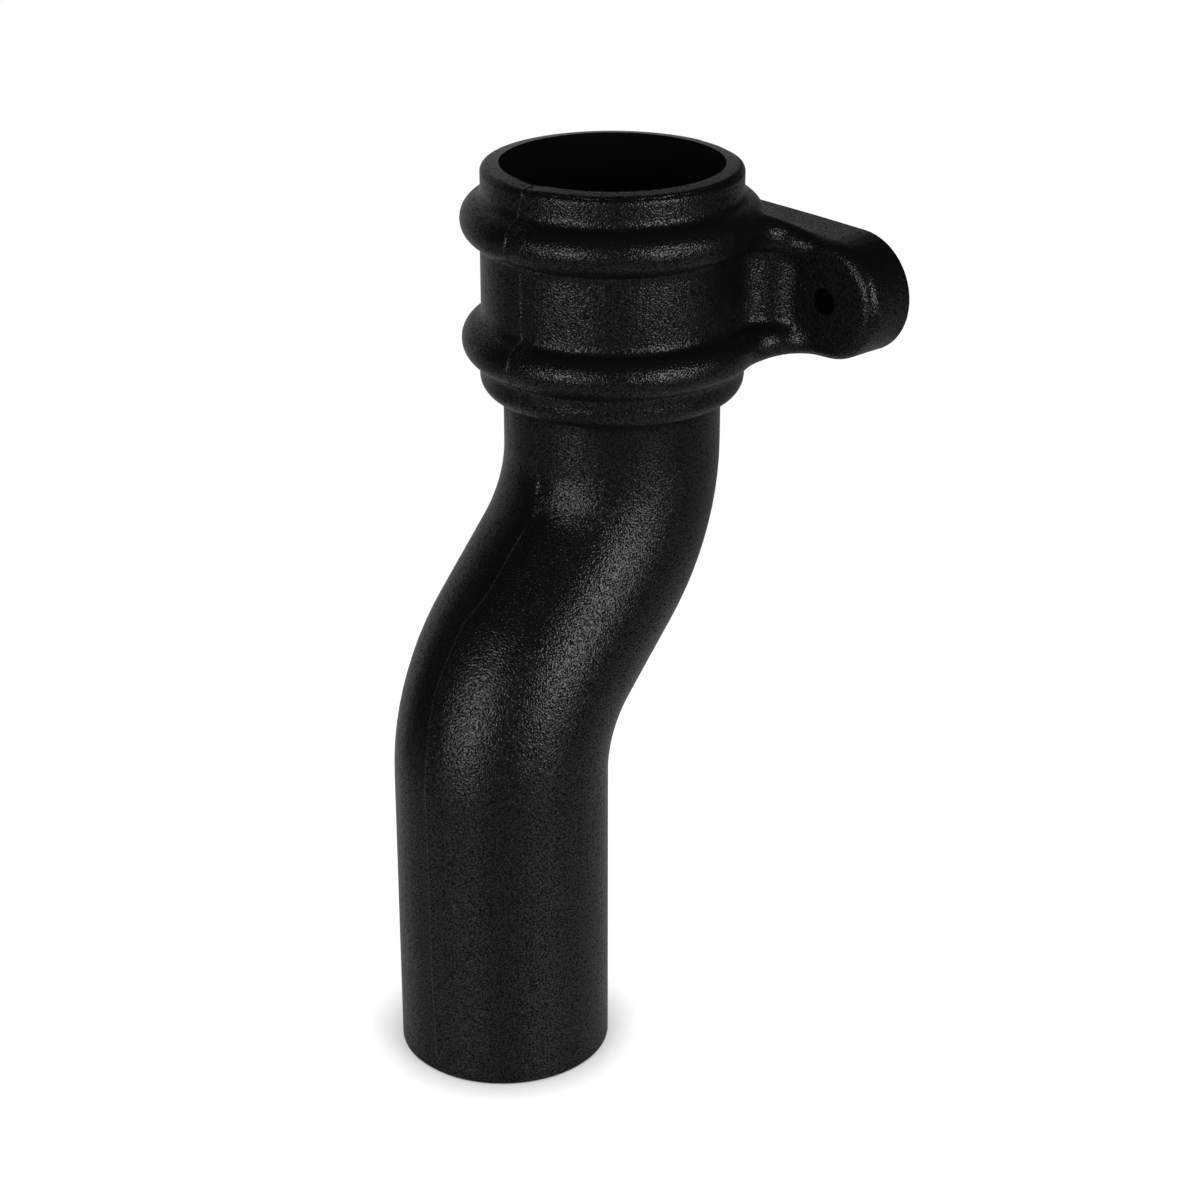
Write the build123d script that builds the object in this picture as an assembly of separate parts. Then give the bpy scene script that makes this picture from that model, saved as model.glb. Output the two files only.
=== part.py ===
from build123d import *
import math
import os

# Downpipe plinth offset: one moulded piece that carries a round downpipe out over a plinth.
# +Z is up, X runs along the wall and +Y points at the wall.
# The origin is the centre of the spigot's foot.

# Round pipe and its swan neck
pipe_diameter = 68.0
pipe_wall = 4.0
offset = 50.0
spigot_length = 97.0
bend_radius = 57.0
bend_angle = 43.0
neck_length = 16.8
foot_edge = 0.6

# Socket that takes the pipe above
socket_clearance = 0.5
socket_depth = 65.0
stop_height = 3.0
base_wall = 4.7

# Collar round the socket, from its base to its mouth
skirt_wall = 6.7
barrel_wall = 6.1
rim_wall = 5.8
skirt_to_bead = 17.5
bead_to_mouth = 17.1
bead_radius = 7.1
bead_proud = 6.1
skirt_round = 6.0
rim_hollow = 3.0
lip_fall = 0.7
lip_round = 2.2

# Fixing ears on the wall side
wall_distance = 49.0
hole_spacing = 118.0
hole_diameter = 8.3
ear_radius = 19.0
ear_flare = 2.3
ear_drop = 2.1
ear_thickness = 18.0
ear_draft = 1.5
ear_root_hollow = 12.0
ear_front_edge = 4.0
ear_back_edge = 0.6

# Webs that carry the beads on into the ears, their ends just under the surfaces that they join
web_hollow = 18.0
web_sink = 0.03

# Worked out from the values above
pipe_radius = pipe_diameter / 2
bore_radius = pipe_radius - pipe_wall
socket_radius = pipe_radius + socket_clearance
skirt_radius = socket_radius + skirt_wall
barrel_radius = socket_radius + barrel_wall
rim_radius = socket_radius + rim_wall
bead_crest = barrel_radius + bead_proud
bend = math.radians(bend_angle)
slant = (offset - 2 * bend_radius * (1 - math.cos(bend))) / math.sin(bend)
neck_base = spigot_length + 2 * bend_radius * math.sin(bend) + slant * math.cos(bend)
collar_base = neck_base + neck_length
socket_floor = collar_base + base_wall + stop_height
mouth = socket_floor + socket_depth
lower_bead = collar_base + skirt_to_bead
upper_bead = mouth - bead_to_mouth
wall_plane = offset + wall_distance
ear_height = (lower_bead + upper_bead) / 2 - ear_drop
ear_lean = math.radians(ear_flare)
ear_start = hole_spacing / 2 + ear_radius * math.sin(ear_lean)

# How far a cut runs past the surface it opens
overrun = 1.0


def tube(radius, low, high):
    """Round bar along the middle of the pipe, from height low in the spigot to height high in the collar."""
    lower = CenterArc((bend_radius, spigot_length), bend_radius, 180, -bend_angle)
    upper = CenterArc((offset - bend_radius, neck_base), bend_radius, -bend_angle, bend_angle)
    run = Line((0, low), (0, spigot_length)) + lower + Line(lower @ 1, upper @ 0) + upper
    run += Line((offset, neck_base), (offset, high))
    return sweep(Pos(0, 0, low) * Circle(radius), path=Plane.YZ * run)


def turned(half):
    """Solid turned about the collar's axis from a half section drawn as radius and height."""
    return Pos(0, offset, 0) * Rot(0, 0, -90) * revolve(Plane.XZ * half, Axis.Z)


def bead(height, under, over):
    """Round of one bead between the radius of the surface under it and the one over it."""
    middle = bead_crest - bead_radius
    start = height - math.sqrt(bead_radius**2 - (under - middle) ** 2)
    end = height + math.sqrt(bead_radius**2 - (over - middle) ** 2)
    return ThreePointArc((under, start), (bead_crest, height), (over, end))


def collar():
    """Outer form of the collar: skirt, two beads, barrel and rim."""
    low = bead(lower_bead, skirt_radius, barrel_radius)
    high = bead(upper_bead, barrel_radius, rim_radius)
    base = (skirt_radius, collar_base)
    brim = (rim_radius, mouth - lip_fall)
    lip = (socket_radius, mouth)
    side = Line((0, collar_base), base) + Line(base, low @ 0) + low + Line(low @ 1, high @ 0) + high
    side += Line(high @ 1, brim) + Line(brim, lip) + Line(lip, (0, mouth))
    half = make_face(side + Line((0, mouth), (0, collar_base)))
    for point, radius in ((base, skirt_round), (high @ 1, rim_hollow), (brim, lip_round)):
        corner = half.vertices().sort_by_distance(Vector(*point))[0]
        half = fillet(corner, radius)
    return turned(half)


def socket():
    """Space for the pipe above, with the stop that it rests on."""
    stop_foot = socket_floor - stop_height
    top = mouth + overrun
    points = [(0, stop_foot), (bore_radius, stop_foot), (socket_radius, socket_floor)]
    points += [(socket_radius, top), (0, top)]
    return turned(make_face(Polyline(*points, close=True)))


def ear_half(across):
    """Half the height of the ears' outline, at a distance across from the middle."""
    swell = ear_start / math.sin(ear_lean)
    return math.sqrt(swell**2 - across**2) - (swell - ear_radius) * math.cos(ear_lean)


def ear_outline():
    """Both ears and the bar between them, seen square to the wall."""
    tip = hole_spacing / 2 + ear_radius
    up = ear_half(ear_start)
    crown = ear_half(0)
    outline = ThreePointArc((-ear_start, up), (0, crown), (ear_start, up))
    outline += ThreePointArc((ear_start, up), (tip, 0), (ear_start, -up))
    outline += ThreePointArc((ear_start, -up), (0, -crown), (-ear_start, -up))
    outline += ThreePointArc((-ear_start, -up), (-tip, 0), (-ear_start, up))
    square = Plane((0, wall_plane, ear_height), x_dir=(1, 0, 0), z_dir=(0, -1, 0))
    return square * make_face(outline)


def ear_plan():
    """Barrel and ears seen from above, with the hollow where they meet."""
    width = hole_spacing + 4 * ear_radius
    barrel = Pos(0, offset) * Circle(barrel_radius)
    bar = Pos(0, wall_plane - ear_thickness / 2) * Rectangle(width, ear_thickness)
    plan = (barrel + bar).face()
    roots = plan.vertices().sort_by_distance((0, offset, 0))[:2]
    height = 4 * ear_radius
    return extrude(Pos(0, 0, ear_height - height / 2) * fillet(roots, ear_root_hollow), height)


def ears():
    """Barrel and both ears as one block, with rounded front edges and chamfered back edges."""
    depth = wall_distance + barrel_radius + overrun
    block = extrude(ear_outline(), depth, taper=ear_draft) & ear_plan()
    front = []
    for edge in block.edges():
        if edge.bounding_box().max.Y < wall_plane - overrun and edge.geom_type != GeomType.LINE:
            front.append(edge)
    block = fillet(front, ear_front_edge)
    back = block.faces().sort_by(Axis.Y)[-1].edges()
    return chamfer(back, ear_back_edge)


def web(height, above, side):
    """Round that leaves a bead, tapers and sinks into the upper (above 1) or lower (-1) edge of an ear."""
    middle = bead_crest - bead_radius
    ear_middle = wall_distance - ear_thickness + ear_front_edge
    turn_middle = ear_middle - web_hollow
    across = math.sqrt((middle + web_hollow) ** 2 - turn_middle**2)
    angle = math.atan2(turn_middle, across)
    start = Vector(side * middle * math.cos(angle), offset + middle * math.sin(angle), height)
    out = Vector(-side * math.sin(angle), math.cos(angle), 0)
    draft = (ear_thickness - ear_front_edge) * math.tan(math.radians(ear_draft))
    rise = ear_half(across) - draft - ear_front_edge - web_sink
    end = Vector(side * across, offset + ear_middle + web_sink, ear_height + above * rise)
    along = Vector(side, 0, 0)
    path = Spline(start, end, tangents=[out, along])
    wide = Plane(start, x_dir=(0, 0, 1), z_dir=out) * Circle(bead_radius - web_sink)
    narrow = Plane(end, x_dir=(0, 0, 1), z_dir=along) * Circle(ear_front_edge - web_sink)
    return sweep([wide, narrow], path=path, multisection=True)


def plinth_offset():
    """The whole moulded piece."""
    solid = collar() + ears()
    for side in (-1, 1):
        solid += web(lower_bead, -1, side)
        solid += web(upper_bead, 1, side)
    solid += tube(pipe_radius, 0, collar_base + overrun)
    foot = solid.faces().sort_by(Axis.Z)[0].edges()
    solid = chamfer(foot, foot_edge)
    solid -= tube(bore_radius, -overrun, socket_floor - stop_height + overrun)
    solid -= socket()
    for side in (-1, 1):
        hole = Plane((side * hole_spacing / 2, wall_plane + overrun, ear_height), z_dir=(0, -1, 0))
        solid -= extrude(hole * Circle(hole_diameter / 2), ear_thickness + 2 * overrun)
    return solid


solid = plinth_offset()
solid.label = "plinth_offset"
os.makedirs("parts", exist_ok=True)
export_step(solid, "parts/plinth_offset.step")
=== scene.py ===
import math

import bmesh
import bpy
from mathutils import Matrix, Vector
from mathutils.kdtree import KDTree


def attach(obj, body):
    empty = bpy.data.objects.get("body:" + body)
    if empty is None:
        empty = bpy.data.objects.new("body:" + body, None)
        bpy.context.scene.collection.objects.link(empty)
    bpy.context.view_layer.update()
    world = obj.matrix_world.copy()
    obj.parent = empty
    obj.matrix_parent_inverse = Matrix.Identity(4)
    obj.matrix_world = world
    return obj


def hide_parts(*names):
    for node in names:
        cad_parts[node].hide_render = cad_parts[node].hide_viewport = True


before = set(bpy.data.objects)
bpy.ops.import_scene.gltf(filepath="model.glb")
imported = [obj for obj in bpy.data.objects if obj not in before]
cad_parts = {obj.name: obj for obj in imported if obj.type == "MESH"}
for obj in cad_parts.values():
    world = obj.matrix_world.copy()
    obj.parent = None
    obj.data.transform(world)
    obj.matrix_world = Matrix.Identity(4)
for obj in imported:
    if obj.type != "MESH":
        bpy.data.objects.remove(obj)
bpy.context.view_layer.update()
metre = 1000  # millimetres in a metre


def linear(hexColour):
    # sRGB hex to the linear colour that the shaders take
    values = [int(hexColour[i:i + 2], 16) / 255 for i in (1, 3, 5)]
    values = [v / 12.92 if v <= 0.04045 else ((v + 0.055) / 1.055) ** 2.4 for v in values]
    return (*values, 1)


def addNode(tree, kind, settings=None, inputs=None):
    # settings are the node's own properties, inputs are values or links by socket name
    node = tree.nodes.new(kind)
    for name, value in (settings or {}).items():
        setattr(node, name, value)
    for name, value in (inputs or {}).items():
        if isinstance(value, bpy.types.NodeSocket):
            tree.links.new(value, node.inputs[name])
        else:
            node.inputs[name].default_value = value
    return node


def multiply(tree, first, second):
    return addNode(tree, "ShaderNodeMath", {"operation": "MULTIPLY"}, {0: first, 1: second}).outputs[0]


def larger(tree, first, second):
    return addNode(tree, "ShaderNodeMath", {"operation": "MAXIMUM"}, {0: first, 1: second}).outputs[0]


def newMaterial(name):
    material = bpy.data.materials.new(name)
    material.use_nodes = True
    material.node_tree.nodes.clear()
    return material


# Almost black plastic, taken as polypropylene, injection-moulded against a tool with a cast-iron grain.
# The grain's pebbles break the sheen into sparkle.
plastic = {
    "colour": "#0B0D0A",
    "tint": "#FAFFF4",  # a trace of green in the sheen
    "roughness": 0.26,  # satin
    "ior": 1.49,  # typical of polypropylene
    "specular": (0.06, 0.44),  # in the valleys and on the crests of the pebbles; the valleys' lower sheen is painted shade
    "grainWidth": 0.9,  # mm from pebble to pebble
    "grainCells": 1.65,  # cells of the noise in that width
    "grainDepth": 0.18,  # mm
    "grainLevels": (0.36, 0.66),  # the noise in the valleys and on the crests
    "pitSpacing": 2.4,  # mm between the moulding's pinholes
    "pitEdge": (0.13, 0.19),  # share of the spacing
    "boreShadeGrain": 0.2,  # grain from which the pinholes show in full; under it the sheen fades out, painted shade in the smooth bores
}


def castGrainPlastic(values):
    material = newMaterial("castGrainPolypropylene")
    tree = material.node_tree
    where = addNode(tree, "ShaderNodeTexCoord").outputs["Object"]
    pebbles = addNode(tree, "ShaderNodeTexNoise", {"noise_dimensions": "3D"}, {
        "Vector": where, "Scale": values["grainCells"] * metre / values["grainWidth"], "Detail": 0.0,
    })
    grain = addNode(tree, "ShaderNodeAttribute", {
        "attribute_type": "GEOMETRY", "attribute_name": "grain",
    }).outputs["Fac"]
    bump = addNode(tree, "ShaderNodeBump", None, {
        "Height": pebbles.outputs["Fac"], "Distance": values["grainDepth"] / metre, "Strength": grain,
    })
    # Less sheen in the pebbles' valleys than on their crests: painted shade between the pebbles
    valleyShadedShine = addNode(tree, "ShaderNodeMapRange", None, {
        "Value": pebbles.outputs["Fac"],
        "From Min": values["grainLevels"][0], "From Max": values["grainLevels"][1],
        "To Min": values["specular"][0], "To Max": values["specular"][1],
    })
    # No sheen where the grain falls to nothing, in the smooth bores: painted shade inside the pipe and socket
    sheenOutsideBore = addNode(tree, "ShaderNodeMapRange", None, {"Value": grain, "From Max": values["boreShadeGrain"]})
    # Pinholes drawn as small spots without sheen: painted shade in the holes
    pits = addNode(tree, "ShaderNodeTexVoronoi", {"feature": "F1"}, {
        "Vector": where, "Scale": metre / values["pitSpacing"],
    })
    pitAndBoreShade = addNode(tree, "ShaderNodeMapRange", None, {
        "Value": pits.outputs["Distance"], "To Max": sheenOutsideBore.outputs[0],
        "From Min": values["pitEdge"][0], "From Max": values["pitEdge"][1],
    })
    sheen = multiply(tree, valleyShadedShine.outputs[0], pitAndBoreShade.outputs[0])
    surface = addNode(tree, "ShaderNodeBsdfPrincipled", None, {
        "Base Color": linear(values["colour"]), "Roughness": values["roughness"], "IOR": values["ior"],
        "Specular IOR Level": sheen, "Specular Tint": linear(values["tint"]),
        "Normal": bump.outputs["Normal"],
    })
    addNode(tree, "ShaderNodeOutputMaterial", None, {"Surface": surface.outputs["BSDF"]})
    return material


# The solid's own lines in millimetres, which the finer skin follows
lines = {
    "pipeRadius": 34.0,
    "offset": 50.0,
    "bendRadius": 57.0,
    "bendAngle": math.radians(43),
    "bendStart": 97.0,
    "bendEnd": 195.524,
    "collarBase": 212.324,
    "socketRadius": 34.5,
    "brimLow": 282.37,
    "rimRadius": 40.3,
    "lipRound": 2.2,
    "mouth": 285.024,
    "lipFall": 0.7,
    "holeSide": 59.0,
    "holeHeight": 246.774,
}

# How near a point has to be to count as lying on a surface or an edge, in millimetres
slack = {
    "wall": 1.0,
    "inside": 1.1,  # past the socket's wall
    "base": 0.1,
    "edge": 0.05,
    "socket": 0.02,
    "ring": 0.01,
    "cut": 0.004,
}

# Parting line of the mould: a fine wandering ridge down the front, between slightly lower sides.
# Each list gives heights and values in millimetres.
seam = {
    "middle": [
        (0, 4.0), (32, 2.6), (80, 2.1), (101, 1.8), (116, 1.0), (132, -0.5), (146, 0.3), (153, 0.6),
        (160, 3.4), (167, 3.3), (181, 3.6), (189, 1.4), (200, 1.0), (240, 1.5), (271, 1.1), (276, 0.6),
        (282, 2.0), (286, 2.0),
    ],
    "ridge": [
        (0, 0.2), (95, 0.2), (115, 0.05), (175, 0.0), (186.5, 0.08), (188.5, 0.42), (191.5, 0.42),
        (193.5, 0.15), (212, 0.15), (286, 0.22),
    ],
    # how much deeper the left side lies
    "ledge": [
        (95, 0.0), (118, 0.4), (135, 0.55), (168, 0.5), (178, 0.2), (186, 0.0), (215, 0.0), (225, 0.12),
        (286, 0.12),
    ],
    "dimple": (5.0, 181.0, 3.2, 0.5),  # the hollow under the flash: across, height, radius and depth
    "columns": (-12, -8, -5, -3, -1.5, -0.75, -0.38, 0, 0.38, 0.75, 1.5, 3, 5, 8, 12),
    "rowStep": 3.0,
    "reach": 12.0,
    "margin": 3.0,  # past the reach, where faces are still taken in
    "foot": 1.0,  # height under which nothing is cut
    "ridgeWidth": 0.55,
    "bendFade": 1.5,  # from here out the columns bend less and less with the line
    "ridgeFade": 1.5,  # from here out the ridge's sides rise again
    "ridgeShare": 0.6,  # of the reach, where they have risen
    "ledgeFade": 3.0,
    "grainFade": (-2.0, 1.0),  # where the grain goes from faint to full across the line
    "faintGrain": 0.25,
}

# Groove round the right half of the lip, and the rings in which the lip's top is laid
groove = {
    "radius": 39.1,
    "depth": 0.95,
    "halfWidth": 0.42,
    "start": 3.0,
    "endRound": 1.6,
    "rings": [
        40.27, 40.18, 40.04, 39.88, 39.72, 39.56, 39.42, 39.28, 39.15, 39.02, 38.88, 38.74, 38.6, 38.45, 38.2,
        37.5, 36.4, 35.4, 34.8,
    ],
}

# Soft joints where the beads, webs and ears meet the barrel, in millimetres and radians
joints = {
    "sliver": 0.02,  # points nearer than this are merged first
    "fineSliver": 0.03,  # and nearer than this after refining
    "edge": 1.3,  # wanted length of the collar's edges
    "longEdge": 1.35,  # how many times that length an edge may be
    "turns": 9,
    "flat": 0.05,  # edges with less of a bend may be turned
    "crease": math.radians(18),
    "near": 1.2,  # from a crease, softened in full
    "far": 3.6,  # from a crease, softened no more
    "holeFade": (4.5, 7.0),  # from a screw hole's middle, where softening sets in
    "wallFade": (93.0, 97.0),  # along Y, where it ends
    "rounds": 7,
    "pull": 0.5,  # share of the way to the neighbours' middle in one round
    "facetWeight": 0.12,
    "leastWeight": 0.001,
    "sharp": math.radians(38),
}


def smooth(low, high, value):
    share = min(max((value - low) / (high - low), 0.0), 1.0)
    return share * share * (3 - 2 * share)


def along(table, height):
    # straight line between the rows of a list of heights and values
    for (low, first), (high, second) in zip(table, table[1:]):
        if height <= high:
            share = max((height - low) / (high - low), 0.0)
            return first + (second - first) * share
    return table[-1][1]


def pipeMiddle(point):
    # nearest point of the pipe's own axis, which runs straight, bends, slants, bends back and runs on
    radius, angle = lines["bendRadius"], lines["bendAngle"]
    lowCentre = Vector((0, radius, lines["bendStart"]))
    highCentre = Vector((0, lines["offset"] - radius, lines["bendEnd"]))
    flat = Vector((0, point.y, point.z))
    below = lowCentre + radius * Vector((0, -math.cos(angle), math.sin(angle)))
    above = highCentre + radius * Vector((0, math.cos(angle), -math.sin(angle)))
    if flat.z <= lines["bendStart"]:
        return Vector((0, 0, flat.z))
    if flat.z >= lines["bendEnd"]:
        return Vector((0, lines["offset"], flat.z))
    slant = (above - below).normalized()
    if (flat - below).dot(slant) < 0:
        return lowCentre + radius * (flat - lowCentre).normalized()
    if (flat - above).dot(slant) > 0:
        return highCentre + radius * (flat - highCentre).normalized()
    return below + slant * (flat - below).dot(slant)


def fromCollarAxis(point):
    return math.hypot(point.x, point.y - lines["offset"])


def onFront(point):
    # outer skin round the parting line
    if abs(point.x) > seam["reach"] + seam["margin"] or point.z < seam["foot"]:
        return False
    if point.z < lines["collarBase"] - slack["base"]:
        arm = point - pipeMiddle(point)
        return arm.length > lines["pipeRadius"] - slack["wall"] and arm.y < 0
    return fromCollarAxis(point) > lines["socketRadius"] + slack["edge"] and point.y < lines["offset"]


def onCollar(point):
    # outer skin of collar, webs and ears under the lip's round
    inside = fromCollarAxis(point) < lines["socketRadius"] + slack["inside"]
    return lines["collarBase"] + slack["edge"] < point.z < lines["brimLow"] and not inside


def collarFaces(mesh):
    return [f for f in mesh.faces if onCollar(f.calc_center_median())]


def triangulate(mesh):
    bmesh.ops.triangulate(mesh, faces=[f for f in mesh.faces if len(f.verts) > 3])


def dropSlivers(mesh, reach):
    # merges points that nearly meet, then takes out what is left without width or laid twice
    bmesh.ops.remove_doubles(mesh, verts=mesh.verts[:], dist=reach)
    bmesh.ops.dissolve_degenerate(mesh, dist=reach, edges=mesh.edges[:])
    triangulate(mesh)
    mesh.verts.index_update()
    seen, twice = {}, []
    for face in mesh.faces:
        corners = frozenset(v.index for v in face.verts)
        if corners in seen:
            twice += [face, seen[corners]]
        seen[corners] = face
    bmesh.ops.delete(mesh, geom=list(dict.fromkeys(twice)), context="FACES")


def refineCollar(mesh, values):
    # halves the collar's long edges until its triangles are small enough to soften
    for _ in range(values["turns"]):
        edges = dict.fromkeys(e for f in collarFaces(mesh) for e in f.edges)
        long = [e for e in edges if e.calc_length() > values["edge"] * values["longEdge"]]
        if not long:
            break
        bmesh.ops.subdivide_edges(mesh, edges=long, cuts=1)
        triangulate(mesh)
        zone = collarFaces(mesh)
        edges = dict.fromkeys(e for f in zone for e in f.edges)
        flat = [e for e in edges if len(e.link_faces) == 2 and e.calc_face_angle() < values["flat"]]
        bmesh.ops.beautify_fill(mesh, faces=zone, edges=flat)


def softenJoints(mesh, values):
    # Laplacian smoothing, strong at the hollow creases and faint on the facets elsewhere
    wallFade = values["wallFade"]
    zone = dict.fromkeys(v for f in collarFaces(mesh) for v in f.verts)
    zone = [v for v in zone if all(onCollar(f.calc_center_median()) for f in v.link_faces)]
    creases = [
        e for v in zone for e in v.link_edges
        if e.calc_face_angle_signed(0) < -values["crease"] and max(p.co.y for p in e.verts) < wallFade[1]
    ]
    tree = KDTree(max(len(creases), 1))
    for index, edge in enumerate(creases):
        tree.insert((edge.verts[0].co + edge.verts[1].co) / 2, index)
    tree.balance()
    weights = {}
    for vert in zone:
        hole = math.hypot(abs(vert.co.x) - lines["holeSide"], vert.co.z - lines["holeHeight"])
        keep = smooth(*values["holeFade"], hole) * (1 - smooth(*wallFade, vert.co.y))
        distance = tree.find(vert.co)[2]
        weights[vert] = keep * max(1 - smooth(values["near"], values["far"], distance), values["facetWeight"])
    for _ in range(values["rounds"]):
        moved = {}
        for vert, weight in weights.items():
            if weight > values["leastWeight"]:
                others = [e.other_vert(vert).co for e in vert.link_edges]
                middle = sum(others, Vector()) / len(others)
                moved[vert] = vert.co + (middle - vert.co) * values["pull"] * weight
        for vert, place in moved.items():
            vert.co = place


def lipHeight(radius, angle, values):
    # top of the lip: gentle fall, round shoulder and, on the right half, the groove between them
    centre = lines["rimRadius"] - lines["lipRound"]
    width = lines["rimRadius"] - lines["socketRadius"]
    height = lines["mouth"] - lines["lipFall"] * (radius - lines["socketRadius"]) / width
    if radius > centre:
        arc = lines["brimLow"] + math.sqrt(max(lines["lipRound"]**2 - (radius - centre)**2, 0))
        height = min(height, arc)
    fromSeam = (angle + math.pi / 2) * lines["rimRadius"] - values["start"]
    fromBack = (math.pi / 2 - angle) * lines["rimRadius"]
    share = smooth(0, values["endRound"], fromSeam) * smooth(0, values["endRound"], fromBack)
    dip = math.exp(-((radius - values["radius"]) / values["halfWidth"]) ** 2)
    return height - values["depth"] * share * dip


def roundCollar(radius, angle, height):
    return Vector((radius * math.cos(angle), lines["offset"] + radius * math.sin(angle), height))


def onLip(point):
    outside = fromCollarAxis(point) > lines["socketRadius"] - slack["socket"]
    return point.z > lines["brimLow"] + slack["ring"] and outside


def rebuildLip(mesh, values):
    # the lip's top is laid anew in fine rings between the rim's wall and the socket's edge
    old = [f for f in mesh.faces if onLip(f.calc_center_median())]
    bmesh.ops.delete(mesh, geom=old, context="FACES")
    border = [e for e in mesh.edges if e.is_boundary]
    between = lines["rimRadius"] - slack["wall"]
    outer = {v for e in border for v in e.verts if fromCollarAxis(v.co) > between}
    inner = [e for e in border if fromCollarAxis(e.verts[0].co) < between]
    ring = sorted(outer, key=lambda v: math.atan2(v.co.y - lines["offset"], v.co.x))
    angles = [math.atan2(v.co.y - lines["offset"], v.co.x) for v in ring]
    for vert, angle in zip(ring, angles):
        vert.co = roundCollar(lines["rimRadius"], angle, vert.co.z)
    for radius in values["rings"]:
        fresh = []
        for angle in angles:
            place = roundCollar(radius, angle, lipHeight(radius, angle, values))
            fresh.append(mesh.verts.new(place))
        for index, vert in enumerate(fresh):
            mesh.faces.new((ring[index - 1], ring[index], vert, fresh[index - 1]))
        ring = fresh
    last = [mesh.edges.get((ring[i - 1], ring[i])) for i in range(len(ring))]
    bmesh.ops.bridge_loops(mesh, edges=last + inner)
    bmesh.ops.recalc_face_normals(mesh, faces=mesh.faces[:])


def frontFaces(mesh):
    return [f for f in mesh.faces if onFront(f.calc_center_median())]


def cutFront(mesh, place, normal):
    geometry = {}
    for face in frontFaces(mesh):
        geometry.update(dict.fromkeys([face, *face.edges, *face.verts]))
    bmesh.ops.bisect_plane(mesh, geom=list(geometry), dist=slack["cut"], plane_co=place, plane_no=normal)


def markParting(mesh, values):
    # cuts columns and rows at the front, bends the columns along the line and sinks both of its sides
    for column in values["columns"]:
        cutFront(mesh, (column, 0, 0), (1, 0, 0))
    for row in range(1, int(lines["collarBase"] / values["rowStep"])):
        cutFront(mesh, (0, 0, row * values["rowStep"]), (0, 0, 1))
    verts = dict.fromkeys(v for f in frontFaces(mesh) for v in f.verts)
    verts = [v for v in verts if abs(v.co.x) <= values["reach"] + slack["ring"]]
    across = {}
    for vert in verts:
        across[vert] = vert.co.x
        straight = smooth(values["bendFade"], values["reach"], abs(vert.co.x))
        shift = along(values["middle"], vert.co.z) * (1 - straight)
        if vert.co.z < lines["collarBase"] - slack["base"]:
            vert.co.x += shift
            middle = pipeMiddle(vert.co)
            vert.co = middle + (vert.co - middle).normalized() * lines["pipeRadius"]
        else:
            radius = fromCollarAxis(vert.co)
            vert.co.x += shift
            vert.co.y = lines["offset"] - math.sqrt(max(radius**2 - vert.co.x**2, 0))
    mesh.normal_update()
    dimpleX, dimpleZ, dimpleRadius, dimpleDepth = values["dimple"]
    for vert, side in across.items():
        sink = along(values["ridge"], vert.co.z) * smooth(0.0, values["ridgeWidth"], abs(side))
        sink *= 1 - smooth(values["ridgeFade"], values["reach"] * values["ridgeShare"], abs(side))
        ledge = along(values["ledge"], vert.co.z) * smooth(0.0, values["ridgeWidth"], -side)
        sink += ledge * (1 - smooth(values["ledgeFade"], values["reach"], abs(side)))
        hollow = math.hypot(vert.co.x - dimpleX, vert.co.z - dimpleZ) / dimpleRadius
        sink += dimpleDepth * (1 - smooth(0.0, 1.0, hollow))
        vert.co -= vert.normal * sink


def grainAt(place, values):
    # 1 where the mould gave the pebbled grain, 0 in the smooth bore, faint on the half left of the line
    # where it is 0, the material takes the sheen away: painted shade in the bore
    if place.z > lines["collarBase"]:
        inside = fromCollarAxis(place) < lines["socketRadius"] + slack["edge"]
    else:
        inside = (place - pipeMiddle(place)).length < lines["pipeRadius"] - slack["wall"]
    if inside:
        return 0.0
    if not onFront(place) and place.x >= 0:
        return 1.0
    right = smooth(*values["grainFade"], place.x - along(values["middle"], place.z))
    return values["faintGrain"] + (1 - values["faintGrain"]) * right


def markGrain(mesh, values):
    grain = mesh.verts.layers.float.new("grain")
    for vert in mesh.verts:
        vert[grain] = grainAt(vert.co, values)


def castSkin(source):
    mesh = bmesh.new()
    mesh.from_mesh(source.data)
    bmesh.ops.scale(mesh, vec=(metre, metre, metre), verts=mesh.verts[:])
    dropSlivers(mesh, joints["sliver"])
    refineCollar(mesh, joints)
    dropSlivers(mesh, joints["fineSliver"])
    softenJoints(mesh, joints)
    rebuildLip(mesh, groove)
    markParting(mesh, seam)
    triangulate(mesh)
    markGrain(mesh, seam)
    bmesh.ops.scale(mesh, vec=(1 / metre,) * 3, verts=mesh.verts[:])
    data = bpy.data.meshes.new("castSkin")
    mesh.to_mesh(data)
    mesh.free()
    if "custom_normal" in data.attributes:
        data.attributes.remove(data.attributes["custom_normal"])  # it belongs to the coarser solid
    for polygon in data.polygons:
        polygon.use_smooth = True
    data.set_sharp_from_angle(angle=joints["sharp"])
    skin = bpy.data.objects.new("castSkin", data)
    bpy.context.scene.collection.objects.link(skin)
    return skin


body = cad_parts["plinth_offset"]
skin = castSkin(body)
skin.data.materials.append(castGrainPlastic(plastic))
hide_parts("plinth_offset")
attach(skin, "root")
print("skin made:", len(skin.data.polygons), "faces")

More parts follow.
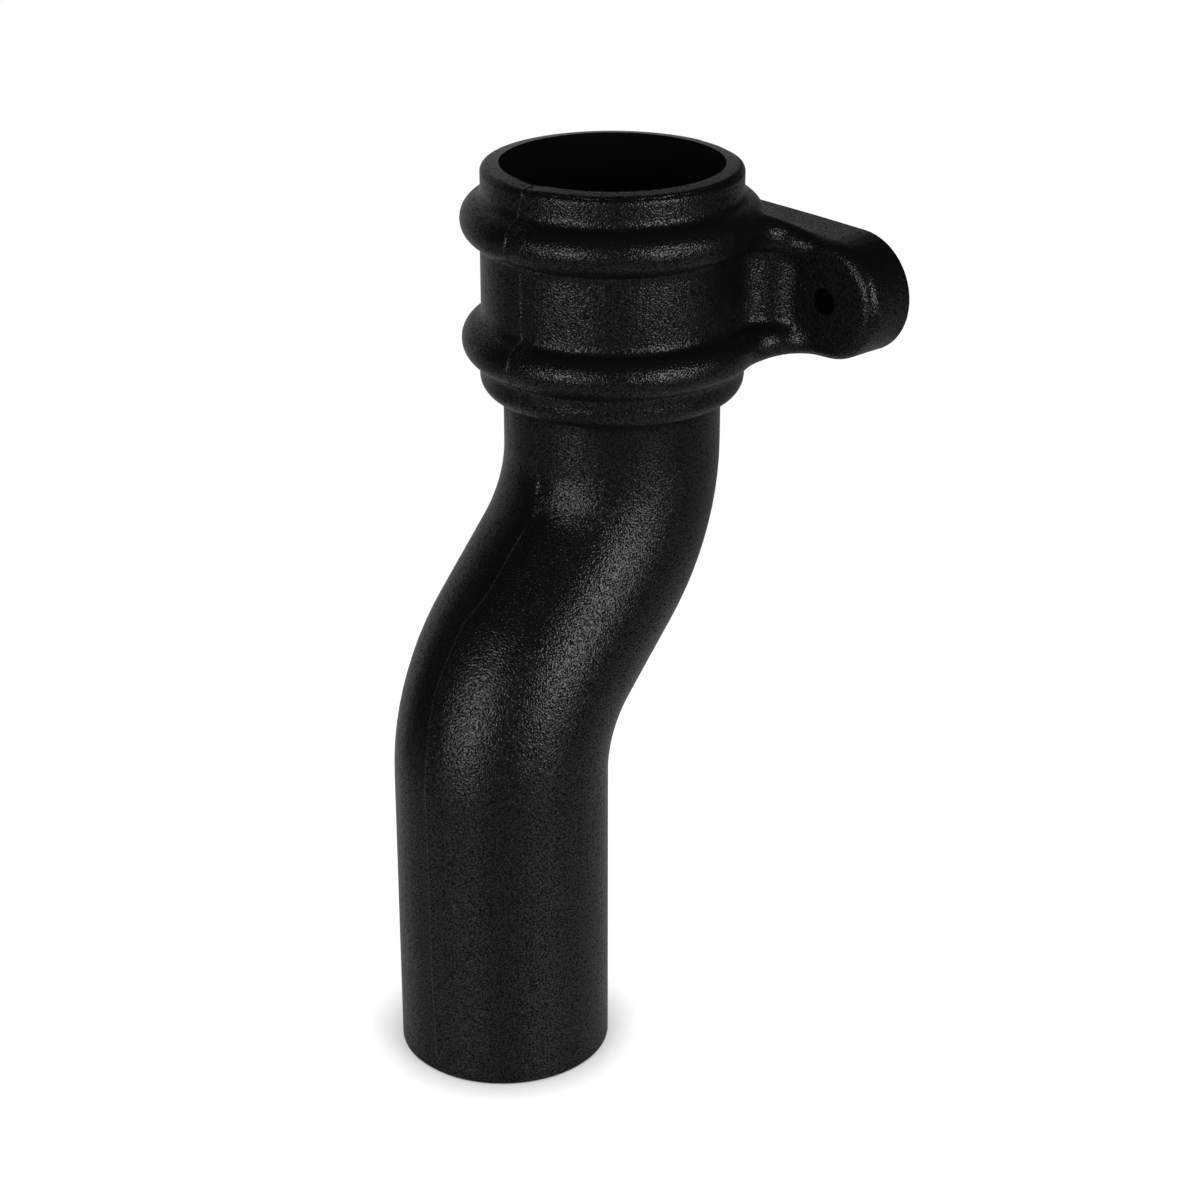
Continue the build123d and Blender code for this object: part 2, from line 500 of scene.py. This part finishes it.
# Studio: a pale table before white surroundings, which look dimmer in reflections, and two low softboxes
studio = {
    "tableRadius": 0.3,  # m
    "tableSides": 128,
    "tableColour": "#DCDCDA",
    "tableRoughness": 0.2,
    "tableLift": 0.84,  # light added to the table's own, so that it looks white
    "mirroredLift": 0.15,  # share of that in reflections
    "shadowReach": 0.014,  # m from the foot to where the lift is full; nearer, it dims as a painted shadow
    "shadowSamples": 12,
    "fromBackdrop": (0.94, -0.342, 0.0),
    "backdropEdges": (-0.95, -0.5),  # along that direction, from full to none
    "mirroredWhite": 0.35,  # the backdrop in reflections
    "floorGlow": 0.22,  # the floor beyond the table in reflections
    "floorEdges": (-0.25, -0.05),  # height of the ray, from full to none
    "dimRoom": 0.02,  # the rest in reflections
    "fill": 0.2,  # plain light from all sides
    "boxAim": (0.0, 0.025, 0.16),  # m
    "boxDistance": 4.0,  # m
    "boxSize": 2.0,  # m
    "boxes": {"left": (278, 8, 85), "right": (359, 10, 104)},  # azimuth, elevation, watts
}


def seenStraight(tree, path):
    # 1 for camera and transmission rays, which see the white surroundings undimmed
    return larger(tree, path["Is Camera Ray"], path["Is Transmission Ray"])


def tableMaterial(values):
    material = newMaterial("paleTable")
    tree = material.node_tree
    path = addNode(tree, "ShaderNodeLightPath").outputs
    sheet = addNode(tree, "ShaderNodeBsdfPrincipled", None, {
        "Base Color": linear(values["tableColour"]), "Roughness": values["tableRoughness"],
    })
    # The lift dims by ambient occlusion near the foot: a painted shadow round it on the table
    paintedShadowAO = addNode(tree, "ShaderNodeAmbientOcclusion", {"samples": values["shadowSamples"]}, {
        "Distance": values["shadowReach"],
    })
    mirrored = multiply(tree, path["Is Glossy Ray"], values["mirroredLift"])
    lift = multiply(tree, larger(tree, seenStraight(tree, path), mirrored), values["tableLift"])
    glow = addNode(tree, "ShaderNodeEmission", None, {
        "Color": (1, 1, 1, 1), "Strength": multiply(tree, lift, paintedShadowAO.outputs["AO"]),
    })
    both = addNode(tree, "ShaderNodeAddShader", None, {0: sheet.outputs[0], 1: glow.outputs[0]})
    addNode(tree, "ShaderNodeOutputMaterial", None, {"Surface": both.outputs[0]})
    return material


def addTable(values):
    bpy.ops.mesh.primitive_circle_add(
        vertices=values["tableSides"], radius=values["tableRadius"], fill_type="NGON",
    )
    table = bpy.context.object
    table.name = "table"
    table.data.materials.append(tableMaterial(values))


def addWorld(values):
    world = bpy.data.worlds.new("studio")
    bpy.context.scene.world = world
    world.use_nodes = True
    tree = world.node_tree
    tree.nodes.clear()
    path = addNode(tree, "ShaderNodeLightPath").outputs
    ray = addNode(tree, "ShaderNodeTexCoord").outputs["Generated"]
    facing = addNode(tree, "ShaderNodeVectorMath", {"operation": "DOT_PRODUCT"}, {
        0: ray, 1: values["fromBackdrop"],
    })
    backdrop = addNode(tree, "ShaderNodeMapRange", {"interpolation_type": "SMOOTHSTEP"}, {
        "Value": facing.outputs["Value"],
        "From Min": values["backdropEdges"][0], "From Max": values["backdropEdges"][1],
        "To Min": values["mirroredWhite"], "To Max": values["dimRoom"],
    })
    height = addNode(tree, "ShaderNodeSeparateXYZ", None, {"Vector": ray}).outputs["Z"]
    floor = addNode(tree, "ShaderNodeMapRange", {"interpolation_type": "SMOOTHSTEP"}, {
        "Value": height, "From Min": values["floorEdges"][0], "From Max": values["floorEdges"][1],
        "To Min": values["floorGlow"], "To Max": 0.0,
    })
    light = addNode(tree, "ShaderNodeMix", {"data_type": "FLOAT"}, {
        0: path["Is Glossy Ray"], 2: values["fill"], 3: larger(tree, backdrop.outputs[0], floor.outputs[0]),
    })
    glow = addNode(tree, "ShaderNodeBackground", None, {
        "Color": (1, 1, 1, 1), "Strength": larger(tree, light.outputs[0], seenStraight(tree, path)),
    })
    addNode(tree, "ShaderNodeOutputWorld", None, {"Surface": glow.outputs[0]})


def addSoftbox(name, place, values):
    azimuth, elevation, watts = place
    lamp = bpy.data.lights.new(name, "AREA")
    lamp.shape = "SQUARE"
    lamp.size = values["boxSize"]
    lamp.energy = watts
    box = bpy.data.objects.new(name, lamp)
    bpy.context.scene.collection.objects.link(box)
    a, e = math.radians(azimuth), math.radians(elevation)
    towards = Vector((math.cos(e) * math.cos(a), math.cos(e) * math.sin(a), math.sin(e)))
    box.location = Vector(values["boxAim"]) + towards * values["boxDistance"]
    box.rotation_euler = towards.to_track_quat("Z", "Y").to_euler()


# The photo's view, worked out from the mouth, the rings and the pipe's edges
photoView = {
    "sensor": 36,  # mm
    "lens": 82.31,  # mm
    "place": (0.56834, -0.52988, 0.5015),  # m
    "turns": (65.98, 0, 44.69),  # degrees
}


def addCamera(values):
    lens = bpy.data.cameras.new("photoView")
    lens.sensor_width = values["sensor"]
    lens.lens = values["lens"]
    camera = bpy.data.objects.new("photoView", lens)
    bpy.context.scene.collection.objects.link(camera)
    camera.location = values["place"]
    camera.rotation_euler = [math.radians(turn) for turn in values["turns"]]
    bpy.context.scene.camera = camera


addCamera(photoView)
addTable(studio)
addWorld(studio)
for name, place in studio["boxes"].items():
    addSoftbox(name, place, studio)
bpy.context.scene.view_settings.view_transform = "Standard"
print("studio ready")
